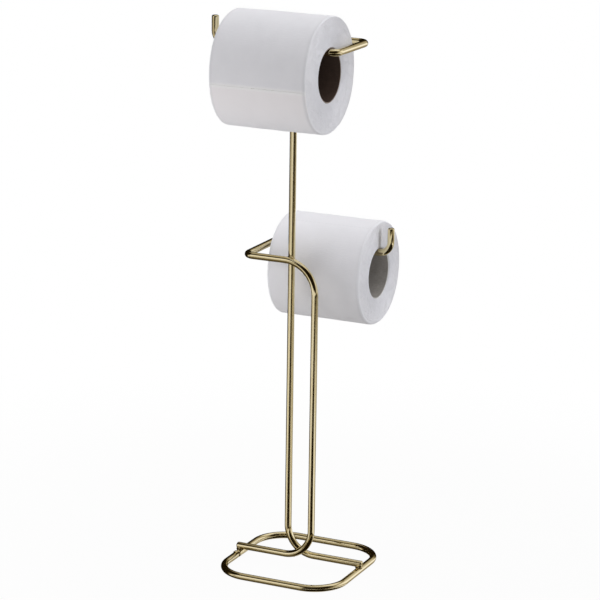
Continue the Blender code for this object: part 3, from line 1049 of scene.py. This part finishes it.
def mirrored_studio(tree, direction):
    """The colour of a dark studio with soft panels set into it, warmer where it is darker."""
    group = panel_group()
    shade = MIRRORED_SHADE
    for name, across, up, lean, level in MIRRORED_PANELS:
        feeds = {"Direction": direction, "Lean": lean}
        feeds.update(zip(("Azimuth", "Half Width", "Width Softness"), across))
        feeds.update(zip(("Elevation", "Half Height", "Height Softness"), up))
        mask = placed_group(tree, group, feeds)[0]
        shade = put(tree, "ShaderNodeMix", {0: mask, 2: shade, 3: level}, label=name).outputs[0]
    green = calc(tree, "POWER", shade, 1 + 0.25 * MIRRORED_WARMTH)
    blue = product(tree, calc(tree, "POWER", shade, 1 + MIRRORED_WARMTH), 1 + 0.25 * MIRRORED_WARMTH)
    return put(tree, "ShaderNodeCombineColor", {"Red": shade, "Green": green, "Blue": blue}).outputs[0]


def background(tree, colour, strength=1.0):
    """The glow of a surround in one colour."""
    return put(tree, "ShaderNodeBackground", {"Color": colour, "Strength": strength}).outputs[0]


def build_surroundings():
    """White to the camera, soft even light on the paper, and panels and dark gaps for the brass to mirror."""
    world = bpy.data.worlds.new("studio")
    bpy.context.scene.world = world
    world.use_nodes = True
    tree = world.node_tree
    tree.nodes.clear()
    direction = put(tree, "ShaderNodeTexCoord").outputs["Generated"]
    even = background(tree, (*WHITE, 1), EVEN_LEVEL)
    mirrored = background(tree, mirrored_studio(tree, direction))
    white = background(tree, (*WHITE, 1))
    path = put(tree, "ShaderNodeLightPath").outputs
    seen = calc(tree, "MAXIMUM", path["Is Camera Ray"], path["Is Transmission Ray"])
    mixed = put(tree, "ShaderNodeMixShader", {0: path["Is Glossy Ray"], 1: even, 2: mirrored}).outputs[0]
    mixed = put(tree, "ShaderNodeMixShader", {0: seen, 1: mixed, 2: white}).outputs[0]
    put(tree, "ShaderNodeOutputWorld", {"Surface": mixed})


def build_lights():
    """Soft light from above, the right and the left, which the brass doesn't mirror."""
    for name, azimuth, elevation, level, spread, colour in FAR_LIGHTS:
        data = bpy.data.lights.new(name, "SUN")
        data.energy = level * math.pi
        data.angle = math.radians(spread)
        data.color = colour
        lamp = in_scene(name, data)
        turned, raised = math.radians(azimuth), math.radians(elevation)
        flat = Vector((math.sin(turned), -math.cos(turned), 0)) * math.cos(raised)
        lamp.matrix_world = (flat + UP * math.sin(raised)).to_track_quat("Z", "Y").to_matrix().to_4x4()
        lamp.visible_glossy = False
    for name, place, power in NEAR_LIGHTS:
        data = bpy.data.lights.new(name, "AREA")
        data.energy = power
        data.size = NEAR_LIGHT_SIZE
        lamp = in_scene(name, data)
        outward = Vector((place[0], place[1], 0))
        turn = outward.to_track_quat("Z", "Y").to_matrix().to_4x4()
        lamp.matrix_world = Matrix.Translation(place) @ turn
        lamp.visible_glossy = False
        lamp.visible_camera = False


def build_floor():
    """A plain pale floor: white to the camera apart from the object's soft shadow."""
    mesh = bpy.data.meshes.new("floor")
    corners = [(FLOOR_REACH * x, FLOOR_REACH * y, 0) for x, y in ((-1, -1), (1, -1), (1, 1), (-1, 1))]
    mesh.from_pydata(corners, [], [(0, 1, 2, 3)])
    floor = in_scene("floor", mesh)
    material = bpy.data.materials.new("floor_paper")
    material.use_nodes = True
    tree = material.node_tree
    tree.nodes.clear()
    far = calc_vector(tree, "LENGTH", put(tree, "ShaderNodeTexCoord").outputs["Object"])
    plain = ramp(tree, far, SHADOW_NEAR, SHADOW_FAR, 1 - SHADOW_SHARE, 1.0)
    seen = put(tree, "ShaderNodeLightPath").outputs["Is Camera Ray"]
    matt = put(tree, "ShaderNodeBsdfDiffuse", {"Color": (*FLOOR_COLOUR, 1)}).outputs[0]
    glow = put(tree, "ShaderNodeEmission", {"Color": (*WHITE, 1), "Strength": 1.0}).outputs[0]
    mixed = put(tree, "ShaderNodeMixShader", {0: product(tree, plain, seen), 1: matt, 2: glow}).outputs[0]
    put(tree, "ShaderNodeOutputMaterial", {"Surface": mixed})
    mesh.materials.append(material)
    floor.visible_glossy = False


# ---------------------------------------------------------------- all together


def main():
    effects = {"speckle": speckle_group(), "thin_line": thin_line_group(), "roll_place": roll_place_group()}
    wire_tree, roll_tree = bent_wire_tree(), turned_tree()
    plating = brass_finish("brass_plating", effects, PLATING_COLOURS, 0.07, 0.12, along_wire=True)
    weld_plating = brass_finish("brass_over_weld", effects, WELD_COLOURS, 0.14, 0.26, along_wire=False)
    build_wires(wire_tree, plating)
    build_welds(weld_plating)
    for place, rim, growth, tail_angle, seed in (
        ("upper", UPPER_RIM_RADIUS, UPPER_END_GROWTH, HALF_TURN + TAIL_ANGLE, 3),
        ("lower", LOWER_RIM_RADIUS, LOWER_END_GROWTH, -TAIL_ANGLE, 8),
    ):
        tissue_roll(place, rim, growth, tail_angle, seed, roll_tree, effects)
    board_tube("upper", UPPER_BOARD_COLOURS, roll_tree, effects)
    board_tube("lower", LOWER_BOARD_COLOURS, roll_tree, effects)
    build_camera()
    build_surroundings()
    build_lights()
    build_floor()


main()
